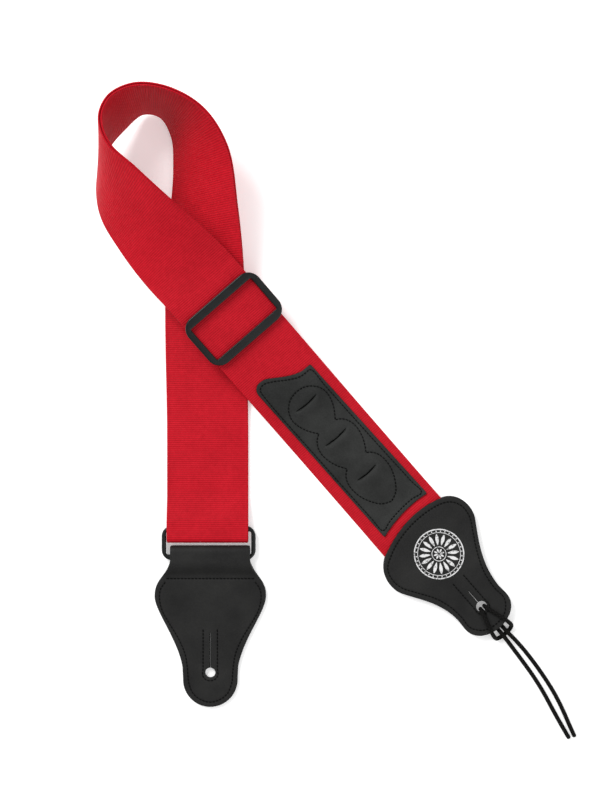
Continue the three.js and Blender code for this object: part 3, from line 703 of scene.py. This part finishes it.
def leather_sheet(name, outline, holes, lay, thickness, body, nodes, extra=None, seams=(), grid=1.1,
                  material=None, low_lift=None):
    """A cut sheet of leather with rounded edges. lay(x, y, h) puts it in place, h above its underside;
    extra(x, y) raises its upper face, and it sinks a little along each seam."""
    loops = [np.asarray(outline, float), *[np.asarray(h, float) for h in holes]]
    loops = [p if (signed_area(p) > 0) == (k == 0) else p[::-1] for k, p in enumerate(loops)]
    cloud, edges = [], []
    for loop in loops:
        first = sum(len(c) for c in cloud)
        cloud.append(loop)
        edges += [(first + i, first + (i + 1) % len(loop)) for i in range(len(loop))]
    boundary = np.vstack(loops)
    guides = [inward(loop, amount) for loop in loops for amount in (0.14, 0.38, 0.75)]
    for seam, closed in seams:
        line = resample(seam, 0.9, closed)
        run = unit(np.gradient(line, axis=0))
        side = np.stack([-run[:, 1], run[:, 0]], 1)
        guides += [line + side * offset for offset in (-0.9, -0.4, 0, 0.4, 0.9)]
    low, high = loops[0].min(0), loops[0].max(0)
    xs, ys = np.meshgrid(np.arange(low[0], high[0], grid), np.arange(low[1], high[1], grid))
    ys = ys + 1e-3 * np.sin(xs)
    inner = np.stack([xs.ravel(), ys.ravel()], 1)
    near_guides = np.vstack(guides)
    inner = inner[inside(inner, loops[0])]
    tree = kdtree.KDTree(len(near_guides))
    for k, p in enumerate(near_guides):
        tree.insert((p[0], p[1], 0), k)
    tree.balance()
    away = np.array([tree.find((p[0], p[1], 0))[2] > 0.6 * grid for p in inner])
    inner = inner[away]
    free = np.vstack([near_guides, inner])
    ok = inside(free, loops[0])
    for hole in loops[1:]:
        ok &= ~inside(free, hole)
    free = free[ok]
    gap = np.full(len(free), 1e9)
    for loop in loops:
        gap = np.minimum(gap, distance_to(free, loop, True))
    free = free[gap > 0.1]
    cloud = np.vstack([boundary, free])
    found = delaunay_2d_cdt([tuple(p) for p in cloud], edges, [], 0, 1e-5)
    flat = np.array([tuple(v) for v in found[0]])
    tris = np.array([f for f in found[2] if len(f) == 3])
    middle = flat[tris].mean(1)
    ok = inside(middle, loops[0])
    for hole in loops[1:]:
        ok &= ~inside(middle, hole)
    tris = tris[ok]
    cross = np.cross(flat[tris[:, 1]] - flat[tris[:, 0]], flat[tris[:, 2]] - flat[tris[:, 0]])
    tris[cross < 0] = tris[cross < 0][:, ::-1]
    used, tris = np.unique(tris, return_inverse=True)
    tris = tris.reshape(-1, 3)
    flat = flat[used]
    rim = np.full(len(flat), 1e9)
    for loop in loops:
        rim = np.minimum(rim, distance_to(flat, loop, True))
    radius = 0.55
    d = np.clip(radius - rim, 0, radius)
    rounded = radius - np.sqrt(np.maximum(radius**2 - d**2, 0))
    top = thickness - rounded * 0.9 - 0.22 * (1 - smoothstep(rim, 0, 2.4))
    for seam, closed in seams:
        top = top - 0.2 * np.exp(-((distance_to(flat, resample(seam, 0.9, closed), closed) / 0.55) ** 2))
    bottom = rounded * 0.35
    if extra is not None:
        top = top + extra(flat[:, 0], flat[:, 1])
    if low_lift is not None:
        bottom = bottom + low_lift(flat[:, 0], flat[:, 1])
    upper = lay(flat[:, 0], flat[:, 1], top)
    under = lay(flat[:, 0], flat[:, 1], bottom)
    count = len(flat)
    faces = [tuple(t) for t in tris] + [(t[0] + count, t[2] + count, t[1] + count) for t in tris]
    directed = {(t[i], t[(i + 1) % 3]) for t in tris.tolist() for i in range(3)}
    for a, b in directed:
        if (b, a) not in directed:
            faces.append((a, a + count, b + count, b))
    obj = make(name, np.vstack([upper, under]), faces)
    finish_piece(obj, material or TAB_LEATHER, body, "leather", *nodes)
    return obj


def bezier(p0, p1, p2, p3, count=24):
    t = np.linspace(0, 1, count, endpoint=False)[:, None]
    p0, p1, p2, p3 = (np.array(p, float) for p in (p0, p1, p2, p3))
    return (1 - t) ** 3 * p0 + 3 * (1 - t) ** 2 * t * p1 + 3 * (1 - t) * t * t * p2 + t**3 * p3


KEYHOLE_SLIT_HALF = 0.12


def keyhole(x, y, radius, slit_end):
    """A round hole with a narrow slit from it to slit_end, on axes where slit_end is above y."""
    half = KEYHOLE_SLIT_HALF
    start = math.pi / 2 - math.asin(half / radius)
    angles = np.linspace(start, start - 2 * math.pi + 2 * math.asin(half / radius), 36)
    round_ = np.stack([x + radius * np.cos(angles), y + radius * np.sin(angles)], 1)
    slit = np.arange(y + radius + 0.8, slit_end, 0.8)
    left = np.stack([np.full(len(slit), x - half), slit], 1)
    right = np.stack([np.full(len(slit), x + half), slit[::-1]], 1)
    return np.vstack([round_, left, [[x - half, slit_end], [x + half, slit_end]], right])


def keyhole_seam(y, slit_end, half):
    side = np.linspace(slit_end, y + 2, 6)
    angles = np.linspace(math.pi, 2 * math.pi, 12)[1:-1]
    bottom = np.stack([half * 1.15 * np.cos(angles), y + 1.15 * half * np.sin(angles)], 1)
    left = np.stack([np.full(6, -half), side], 1)
    right = np.stack([np.full(6, half), side[::-1]], 1)
    return np.vstack([left, bottom, right])


STITCH_PITCH = 2.15
THREAD_RADIUS = 0.3


def stitches(name, lines, lay, body, nodes, slot="thread", material=None, height=0.0):
    """Short threads along each line of 2-D points, each one rising from a hole and going down in the next."""
    points, faces = [], []
    sides, steps = 6, 7
    reach = np.linspace(-0.5, 0.5, steps)
    for line, closed in lines:
        path = resample(line, STITCH_PITCH, closed)
        if closed:
            path = np.vstack([path, path[:1]])
        for a, b in zip(path[:-1], path[1:]):
            middle, run = (a + b) / 2, (b - a) * 0.76
            flat = middle + reach[:, None] * run
            rise = height + 0.16 - 1.5 * reach**2
            spine = lay(flat[:, 0], flat[:, 1], rise)
            forward = unit(np.gradient(spine, axis=0))
            side = unit(np.cross(forward, [0, 0, 1.0]))
            up = np.cross(side, forward)
            thick = THREAD_RADIUS * np.sqrt(np.clip(1 - (np.abs(reach) * 1.9) ** 4, 0.06, 1))
            first = len(points)
            for k in range(steps):
                for j in range(sides):
                    angle = 2 * math.pi * (j + 0.5) / sides
                    points.append(spine[k] + thick[k] * (math.cos(angle) * side[k] + math.sin(angle) * up[k]))
            for k in range(steps - 1):
                for j in range(sides):
                    n = (j + 1) % sides
                    faces.append((first + k * sides + j, first + k * sides + n,
                                  first + (k + 1) * sides + n, first + (k + 1) * sides + j))
            faces.append(tuple(first + j for j in reversed(range(sides))))
            faces.append(tuple(first + (steps - 1) * sides + j for j in range(sides)))
    obj = make(name, points, faces)
    finish_piece(obj, material or BLACK_THREAD, body, slot, *nodes)
    return obj


def add_end_stitches():
    """The red bar of stitching across the webbing's sewn end, on its underside."""
    underside = -LAYER - 1.5 * WEB_THICK - GAP
    at = SLIDER_AT - HEM_LENGTH + 4
    lines = [(np.array([(-22.0, at + off), (22.0, at + off)]), False) for off in (-1.2, 1.2)]
    obj = stitches("webbing_end_stitches", lines, lambda x, y, h: neck_point(x, y, underside - h), None,
                   ["webbing_end_seam"], slot="red_thread", material=RED_THREAD)
    follow_slider(obj)


add_end_stitches()


# -- button tab, on axes with x = 0 down its middle
TIP_RADIUS = 16.8
TIP_MIDDLE_Y = -175.8
BUTTON_EDGE = [
    (27.5, -115.5), (30.6, -120), (31.3, -125), (29.7, -133), (25.3, -141), (19.5, -150.5), (15.5, -160),
    (13.9, -170), (13.2, -178), (9.5, -185.5), (0, -189.6),
]


def button_outline():
    right = np.vstack([
        [[24.5, -92], [24.5, -97]],
        bezier((24.5, -103), (28, -113), (34.3, -114), (34.3, -124.5)),
        bezier((34.3, -124.5), (34.3, -134), (19, -152), (16.8, -170)),
    ])
    angles = np.linspace(0.05, -math.pi / 2, 20)
    tip = np.stack([TIP_RADIUS * np.cos(angles), TIP_MIDDLE_Y + TIP_RADIUS * np.sin(angles)], 1)
    return np.vstack([right, tip])


def half_width(y):
    edge = button_outline()
    return np.interp(-np.asarray(y), -edge[:, 1], edge[:, 0])


def button_path():
    """The front leather's underside as (y, height) from its tip, over the ring's bar and back underneath."""
    outer = LEATHER + RING_ROOM / 2
    inner = RING_ROOM / 2
    centre_y = -92.9 - outer
    high = 2 * outer - LEATHER
    rows = [(y, LEATHER + GAP) for y in np.linspace(-193, -112.5, 60)]
    for t in np.linspace(1, 0, 14)[1:]:
        rows.append((-103.7 - 8.5 * t, high - (high - LEATHER - GAP) * float(smoothstep(t, 0, 1))))
    for angle in np.linspace(math.pi / 2, -math.pi / 2, 20):
        rows.append((centre_y + inner * math.cos(angle), outer + inner * math.sin(angle)))
    rows += [(y, LEATHER) for y in np.linspace(-98, -117, 12)]
    return np.array(rows)


def add_button_tab():
    path = button_path()
    length = np.concatenate([[0], np.cumsum(np.linalg.norm(np.diff(path, axis=0), axis=1))])
    run = unit(np.gradient(path, length, axis=0))
    up = np.stack([-run[:, 1], run[:, 0]], 1)

    def lay_front(x, s, h):
        x, s, h = np.broadcast_arrays(*(np.asarray(v, float) for v in (x, s, h)))
        y, z, uy, uz = (np.interp(s, length, v) for v in (path[:, 0], path[:, 1], up[:, 0], up[:, 1]))
        return np.stack([BUTTON_AXIS_X + x, y + uy * h, z + uz * h], -1)

    front_end = 60
    to_s = lambda y: np.interp(y, path[:front_end, 0], length[:front_end])
    tip_s = to_s(TIP_MIDDLE_Y - TIP_RADIUS)
    stations = np.concatenate([
        tip_s + TIP_RADIUS * (1 - np.cos(np.linspace(0, math.pi / 2, 16))),
        np.arange(tip_s + 18, length[-1], 1.0),
        [length[-1]],
    ])
    ys = np.interp(stations, length, path[:, 0])
    widths = half_width(ys)
    widths[0] = 0.0
    outline = np.vstack([
        np.stack([widths, stations], 1),
        np.stack([-widths[:0:-1], stations[:0:-1]], 1),
    ])
    hole = keyhole(0, to_s(BUTTON_HOLE_Y), BUTTON_HOLE, to_s(-147))
    edge = catmull([(-x, y) for x, y in BUTTON_EDGE] + [(x, y) for x, y in reversed(BUTTON_EDGE[:-1])], 6)
    edge = np.stack([edge[:, 0], to_s(edge[:, 1])], 1)
    fold = np.array([(-27.2, to_s(-113.5)), (27.2, to_s(-113.5))])
    round_hole = keyhole_seam(0, -144.5 - BUTTON_HOLE_Y, 4.4)
    round_hole = np.stack([round_hole[:, 0], to_s(round_hole[:, 1] + BUTTON_HOLE_Y)], 1)
    seams = [(edge, False), (fold, False), (round_hole, False)]
    puff = lambda x, s: 0.25 * smoothstep(np.abs(x), 4.4, 0) * smoothstep(s, to_s(-183), to_s(-170)) * (
        1 - smoothstep(s, to_s(-150), to_s(-143)))
    leather_sheet("button_tab_leather", outline, [hole], lay_front, LEATHER, "button_tab",
                  ["button_tab_front"], extra=puff, seams=seams)

    def lay_back(x, y, h):
        x, y, h = np.broadcast_arrays(*(np.asarray(v, float) for v in (x, y, h)))
        return np.stack([BUTTON_AXIS_X + x, y, h], -1)

    right = resample(button_outline(), 0.9)
    right = right[right[:, 1] < -117.6]
    back = np.vstack([right, (right * (-1, 1))[::-1][1:]])
    back_hole = keyhole(0, BUTTON_HOLE_Y, BUTTON_HOLE, -147)
    leather_sheet("button_tab_lining", back, [back_hole], lay_back, LEATHER, "button_tab",
                  ["button_tab_backing"], grid=2.0)
    for name, line in zip(("edge", "fold", "hole"), seams):
        stitches(f"button_tab_{name}_stitches", [line], lay_front, "button_tab",
                 [f"button_tab_{name}_seam"], height=LEATHER)


add_button_tab()


# -- neck tab, on axes with x across the strap and y back along it
def neck_outline():
    return np.vstack([
        bezier((-24.1, -73), (-31, -77), (-35.5, -84), (-33.2, -94)),
        bezier((-33.2, -94), (-31, -101), (-17.5, -114), (-16.6, -131)),
        bezier((-16.6, -131), (-16.4, -134), (-17, -137), (-16.8, -140), 8),
        bezier((-16.8, -140), (-15.5, -156), (15.5, -156), (16.8, -140), 40),
        bezier((16.8, -140), (17, -137), (16.2, -134), (16.4, -131), 8),
        bezier((16.4, -131), (17.5, -112), (28, -99.5), (33, -91)),
        bezier((33, -91), (37, -82), (34, -72.5), (26, -69.1)),
        bezier((26, -69.1), (10.7, -63.4), (-6, -64.8), (-24.1, -73), 40),
    ])


def front_height(along):
    over_webbing = LEATHER + WEB_THICK + 2 * GAP
    over_backing = NECK_TAB_RISE + LEATHER + GAP
    return over_webbing + (over_backing - over_webbing + 0.2) * smoothstep(along, 88, 106)


def lay_over(under):
    def lay(x, y, h):
        x, y, h = np.broadcast_arrays(*(np.asarray(v, float) for v in (x, y, h)))
        points = NECK_PIVOT + x[..., None] * ACROSS - y[..., None] * ALONG
        points[..., 2] = under(-y) + h
        return points
    return lay


NECK_EDGE = [
    (-22.5, 75.8), (-28.5, 80), (-30.7, 87), (-29.5, 94.5), (-24.5, 102.5), (-18.5, 112), (-14.8, 122),
    (-13.6, 132), (-13.9, 140), (-8.5, 146.8), (0, 148.8), (8.5, 146.8), (13.9, 140), (13.4, 132), (15, 120),
    (20.5, 106.5), (26, 97), (30.5, 89), (31.3, 80.5), (27.5, 74), (20, 70.5), (4, 69), (-12, 71.5),
]


def add_neck_tab():
    outline = resample(neck_outline(), 0.9, True)
    hole = keyhole(0, -NECK_HOLE_AT, NECK_HOLE, -123)
    lay_front = lay_over(front_height)
    edge = catmull([(x, -y) for x, y in NECK_EDGE], 6, True)
    round_hole = keyhole_seam(-NECK_HOLE_AT, -112.7, 4.2)
    seams = [(edge, True), (round_hole, False)]
    leather_sheet("neck_tab_leather", outline, [hole], lay_front, LEATHER, "strap", ["neck_tab_front"],
                  seams=seams)
    backing = lambda along: NECK_TAB_RISE * smoothstep(along, 88, 106)
    leather_sheet("neck_tab_lining", outline, [hole], lay_over(backing), LEATHER, "strap",
                  ["neck_tab_backing"], grid=2.0)
    stitches("neck_tab_edge_stitches", seams[:1], lay_front, "strap", ["neck_tab_edge_seam"], height=LEATHER)
    stitches("neck_tab_hole_stitches", seams[1:], lay_front, "strap", ["neck_tab_hole_seam"], height=LEATHER)
    add_emblem(lay_front)


def add_emblem(lay):
    """A plain printed rosette in two rings."""
    middle = np.array([1.4, -93.6])
    points, faces = [], []

    def patch(rows):
        """Quads between rows of equal length, as a film just proud of the leather."""
        first = len(points)
        width = len(rows[0])
        for level in (0.1, 0.02):
            for row in rows:
                for p in row:
                    points.append((*(middle + p), level))
        size = len(rows) * width
        for r in range(len(rows) - 1):
            for c in range(width - 1):
                a = first + r * width + c
                quad = (a, a + 1, a + width + 1, a + width)
                faces.append(quad)
                faces.append(tuple(q + size for q in reversed(quad)))
        border = [first + c for c in range(width)]
        border += [first + r * width + width - 1 for r in range(1, len(rows))]
        border += [first + (len(rows) - 1) * width + c for c in reversed(range(width - 1))]
        border += [first + r * width for r in reversed(range(1, len(rows) - 1))]
        for a, b in zip(border, border[1:] + border[:1]):
            faces.append((b, a, a + size, b + size))

    def polar(radius, angle):
        return np.array([radius * math.cos(angle), radius * math.sin(angle)])

    for low, high in ((14.7, 15.4), (12.9, 13.25), (4.1, 4.5)):
        turn = np.linspace(0, 2 * math.pi, 97)
        for part in (turn[:49], turn[48:]):
            patch([[polar(r, a) for a in part] for r in (low, high)])
    for petals, low, high, spread in ((16, 5.4, 12.1, 0.115), (8, 0.5, 3.3, 0.26)):
        for k in range(petals):
            at = 2 * math.pi * (k + 0.5) / petals
            radii = np.linspace(low, high, 9)
            swell = np.sin(np.linspace(0.25, math.pi - 0.12, 9))
            patch([[polar(r, at + side * spread * w) for side in (-1, -0.4, 0.4, 1)]
                   for r, w in zip(radii, swell)])
    for k in range(32):
        at = 2 * math.pi * k / 32
        patch([[polar(r, at + side * 0.022) for side in (-1, 1)] for r in (13.6, 14.35)])
    flat = np.array(points)
    obj = make("neck_tab_print", lay(flat[:, 0], flat[:, 1], LEATHER + flat[:, 2]), faces, smooth=False)
    finish_piece(obj, PRINT, "strap", "thread")


add_neck_tab()


# -- pick holder, on the strap's axes: x across and y along
POCKET_SIDE = [
    [(0, -38.2), (5, -37.4), (9.5, -34.6), (12.6, -30.5), (13.7, -26.2), (12.9, -20.5), (10.6, -15),
     (6.6, -9.1)],
    [(6.6, -9.1), (9.6, -7.4), (12.4, -3.6), (13.7, 2.2), (12.8, 8.5), (10.9, 13.4), (7.7, 18.7)],
    [(7.7, 18.7), (10.6, 20.8), (13, 25), (13.7, 30.2), (12.8, 36.8), (10, 43.2), (5.6, 49), (0, 51.6)],
]
SLITS = [(-30.2, 7.6), (-1.9, 8), (27, 7)]
SLIT_BOW = 0.7
POCKET_SHIFT = (0.75, -1.25)  # the pockets' own middle
PICK_EDGE = [
    (1, 58.3), (-9, 59.7), (-15.2, 61.4), (-15.7, 50), (-16.4, 0), (-16.4, -48), (-15.6, -54.5), (-12, -56),
    (-6.5, -53.6), (1.5, -48.3), (8, -45), (13, -44.4), (16.1, -44.4), (16.4, -30), (17.2, 20), (18, 50),
    (18.4, 59), (11, 58),
]


def pick_outline():
    return np.vstack([
        bezier((-18.4, -52), (-18.4, -58.5), (-12, -59.5), (-7, -56.5)),
        bezier((-7, -56.5), (-1, -52.5), (6, -47), (13, -46.5)),
        [[13, -46.5], [15.5, -46.5], [17.6, -46.4], [18.2, -45.8]],
        [[20.4, 60.8], [20, 61.4]],
        bezier((19.6, 61.4), (9.2, 59.6), (-4.8, 60.8), (-16.4, 64.2)),
        [[-17, 64.2], [-17.2, 63.6]],
    ])


def add_pick_holder():
    outline = resample(pick_outline(), 0.9, True)
    right = np.vstack([catmull(part, 6)[:-1] for part in POCKET_SIDE] + [[(0, 51.6)]])
    left = (right * (-1, 1))[::-1][1:-1]
    pocket = np.vstack([right, left]) + POCKET_SHIFT
    middle = POCKET_SHIFT[0]
    holes = []
    for at, half in SLITS:
        x = np.linspace(-half, half, 17)
        bow = SLIT_BOW * (1 - (x / half) ** 2)
        gape = 0.1 + 0.25 * (1 - (x / half) ** 2)
        upper, lower = (np.stack([x + middle, at + bow + side * gape], 1) for side in (1, -1))
        holes.append(np.vstack([upper, lower[::-1]]))

    def puff(x, y):
        points = np.stack([np.ravel(x), np.ravel(y)], 1)
        deep = np.where(inside(points, pocket), distance_to(points, pocket, True), 0)
        height = 1.0 * smoothstep(deep, 0, 7)
        for at, half in SLITS:
            across = 1 - smoothstep(np.abs(points[:, 0] - middle), half * 0.6, half + 3)
            past = points[:, 1] - at - SLIT_BOW
            lip = 0.95 * np.exp(-(((past - 3.2) / 3.6) ** 2)) * (past > -0.4)
            sag = -0.75 * np.exp(-(((past + 1.0) / 3.4) ** 2)) * (past <= 0.2)
            height += across * (lip + sag)
        return height.reshape(np.shape(x))

    def lay(x, y, h):
        return neck_point(x, y, 2 * LAYER + GAP / 2 + np.asarray(h))

    def hollow(x, y):
        points = np.stack([np.ravel(x), np.ravel(y)], 1)
        near = np.min([np.abs(points[:, 1] - at) for at, _ in SLITS], axis=0)
        room = 0.5 * (1 - smoothstep(near, 3.2, 5)) * (1 - smoothstep(np.abs(points[:, 0] - middle), 9, 11))
        return room.reshape(np.shape(x))

    edge = catmull(PICK_EDGE, 6, True)
    seams = [(edge, True), (pocket, True)]
    leather_sheet("pick_holder_leather", outline, holes, lay, LEATHER, "strap", ["pick_holder"],
                  extra=puff, seams=seams, material=PATCH_LEATHER, grid=1.0, low_lift=hollow)
    # painted shade: a near-black sheet under each slit stands in for the shade inside the pocket
    for number, (at, half) in enumerate(SLITS, 1):
        wide = half + 1
        square = ((-wide, -2), (wide, -2), (wide, 2), (-wide, 2))
        corners = [(x + middle, at + SLIT_BOW + y) for x, y in square]
        points = np.vstack([[lay(x, y, h) for x, y in corners] for h in (0.04, 0.34)])
        sides = [(k, (k + 1) % 4, (k + 1) % 4 + 4, k + 4) for k in range(4)]
        faces = [(3, 2, 1, 0), (4, 5, 6, 7), *sides]
        lining = make(f"pick_pocket_lining_{number}", points, faces, smooth=False)
        finish_piece(lining, SLIT_SHADE_SHEET, "strap", "leather")
    stitches("pick_holder_edge_stitches", seams[:1], lay, "strap", ["pick_holder_edge_seam"], height=LEATHER)
    stitches("pick_pocket_stitches", seams[1:], lay, "strap", ["pick_pocket_seam"], height=LEATHER)


add_pick_holder()
